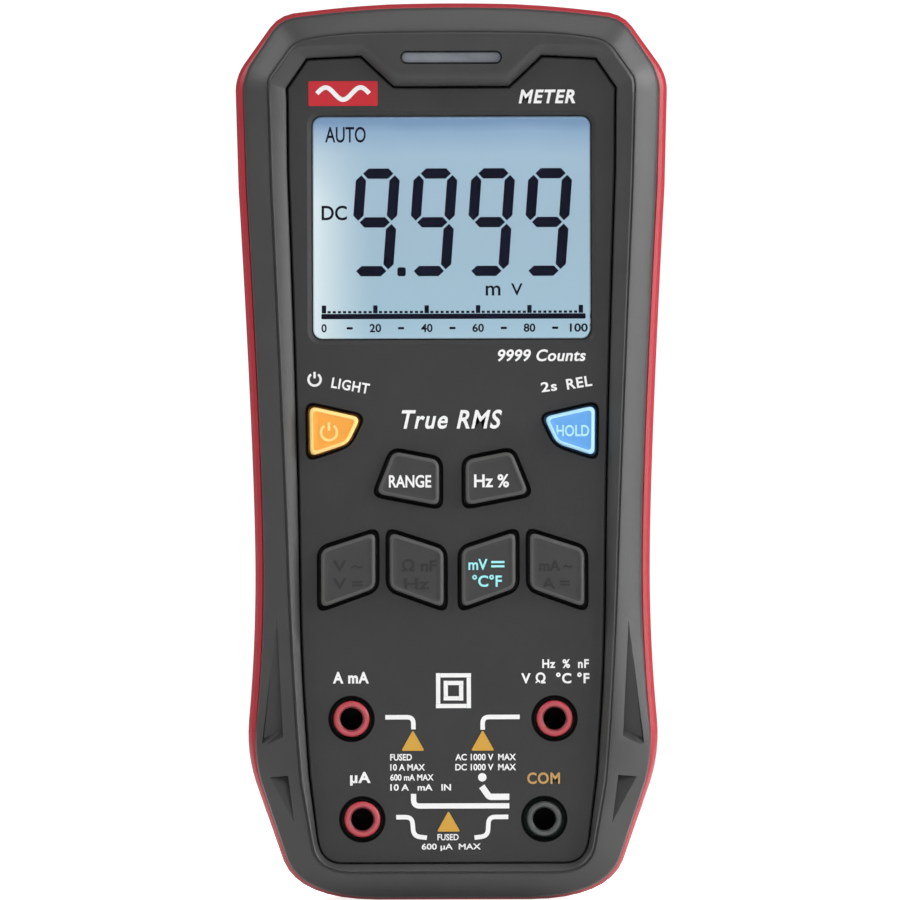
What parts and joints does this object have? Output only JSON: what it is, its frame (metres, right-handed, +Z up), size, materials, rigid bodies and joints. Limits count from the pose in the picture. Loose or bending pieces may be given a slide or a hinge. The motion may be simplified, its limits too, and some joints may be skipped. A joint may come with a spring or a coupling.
{
  "type": "digital multimeter",
  "caption": "Handheld digital multimeter with a large display, press keys, input jacks, a soft bumper case, a battery door and a folding tilt stand at the back.",
  "frame": {"origin": "middle of the base that it stands on, halfway between the face and the back", "axes": "+Z up the length of the case, the face looks along -Y, +X to the right when looking at the face"},
  "size_m": [0.0818, 0.046, 0.1699],
  "materials": {
    "red_rubber": "soft moulded red overmould, fine satin texture",
    "grey_rubber": "soft moulded dark grey bumper, fine matt texture",
    "dark_plastic": "moulded dark grey ABS with fine spark texture",
    "key_plastic": "moulded dark grey silicone keys with a printed legend",
    "stand_plastic": "moulded dark grey plastic",
    "door_plastic": "moulded dark grey plastic",
    "black_rubber": "plain black rubber",
    "black_plastic": "moulded black plastic",
    "clear_plastic": "polished clear acrylic",
    "display_glass": "liquid crystal cell, pale blue when lit from behind",
    "white_plastic": "white light guide",
    "orange_plastic": "orange moulded key with a paler rim",
    "blue_plastic": "blue moulded key with a paler rim",
    "red_plastic": "red insulating ring",
    "black_ring_plastic": "black insulating ring",
    "board_laminate": "green circuit board with solder resist",
    "steel": "zinc plated steel",
    "brass": "tin or nickel plated brass",
    "ceramic": "plain ceramic",
    "cell_sleeve": "plain printed sleeve on a dry cell"
  },
  "bodies": {
    "case": {"rear_cover": "red_rubber", "front_bumper": "grey_rubber", "front_case": "dark_plastic", "case_seal": "black_rubber", "display_window": "clear_plastic", "light_pipe": "clear_plastic", "display_frame": "black_plastic", "display_glass": "display_glass", "display_backlight": "white_plastic", "display_connector": "black_rubber", "keypad_sheet": "black_rubber", "main_board": "board_laminate", "indicator_light": "white_plastic", "measuring_chip": "black_plastic", "shield_can": "steel", "buzzer": "black_plastic", "fuse_current": "ceramic", "fuse_microamps": "ceramic", "fuse_current_clip_left": "brass", "fuse_current_clip_right": "brass", "fuse_microamps_clip_left": "brass", "fuse_microamps_clip_right": "brass", "shunt_wire": "steel", "surge_resistor": "ceramic", "cell_left": "cell_sleeve", "cell_right": "cell_sleeve", "cell_link": "brass", "contact_negative": "brass", "contact_positive": "brass", "case_screw_1": "steel", "case_screw_2": "steel", "case_screw_3": "steel", "case_screw_4": "steel", "jack_current_ring": "red_plastic", "jack_current_socket": "brass", "jack_volts_ohms_ring": "red_plastic", "jack_volts_ohms_socket": "brass", "jack_microamps_ring": "red_plastic", "jack_microamps_socket": "brass", "jack_common_ring": "black_ring_plastic", "jack_common_socket": "brass"},
    "power_key": {"key_power": "orange_plastic"},
    "hold_key": {"key_hold": "blue_plastic"},
    "range_key": {"key_range": "key_plastic"},
    "hz_percent_key": {"key_hz_percent": "key_plastic"},
    "voltage_key": {"key_voltage": "key_plastic"},
    "resistance_key": {"key_resistance": "key_plastic"},
    "millivolt_key": {"key_millivolt": "key_plastic"},
    "current_key": {"key_current": "key_plastic"},
    "stand": {"tilt_stand": "stand_plastic"},
    "door": {"battery_door": "door_plastic", "door_screw": "steel"}
  },
  "joints": [
    {"name": "power_press", "type": "slide", "parent": "case", "child": "power_key", "axis": [0, 1, 0], "range_m": [0, 0.001], "stiffness_N_per_m": 500, "springref_m": -0.0005},
    {"name": "hold_press", "type": "slide", "parent": "case", "child": "hold_key", "axis": [0, 1, 0], "range_m": [0, 0.001], "stiffness_N_per_m": 500, "springref_m": -0.0005},
    {"name": "range_press", "type": "slide", "parent": "case", "child": "range_key", "axis": [0, 1, 0], "range_m": [0, 0.001], "stiffness_N_per_m": 500, "springref_m": -0.0005},
    {"name": "hz_percent_press", "type": "slide", "parent": "case", "child": "hz_percent_key", "axis": [0, 1, 0], "range_m": [0, 0.001], "stiffness_N_per_m": 500, "springref_m": -0.0005},
    {"name": "voltage_press", "type": "slide", "parent": "case", "child": "voltage_key", "axis": [0, 1, 0], "range_m": [0, 0.001], "stiffness_N_per_m": 500, "springref_m": -0.0005},
    {"name": "resistance_press", "type": "slide", "parent": "case", "child": "resistance_key", "axis": [0, 1, 0], "range_m": [0, 0.001], "stiffness_N_per_m": 500, "springref_m": -0.0005},
    {"name": "millivolt_press", "type": "slide", "parent": "case", "child": "millivolt_key", "axis": [0, 1, 0], "range_m": [0, 0.001], "stiffness_N_per_m": 500, "springref_m": -0.0005},
    {"name": "current_press", "type": "slide", "parent": "case", "child": "current_key", "axis": [0, 1, 0], "range_m": [0, 0.001], "stiffness_N_per_m": 500, "springref_m": -0.0005},
    {"name": "stand_fold", "type": "hinge", "parent": "case", "child": "stand", "pos_m": [0, 0.0213, 0.106], "axis": [1, 0, 0], "range_deg": [0, 50]},
    {"name": "door_lift", "type": "slide", "parent": "case", "child": "door", "axis": [0, 1, 0], "range_m": [0, 0.012]}
  ]
}
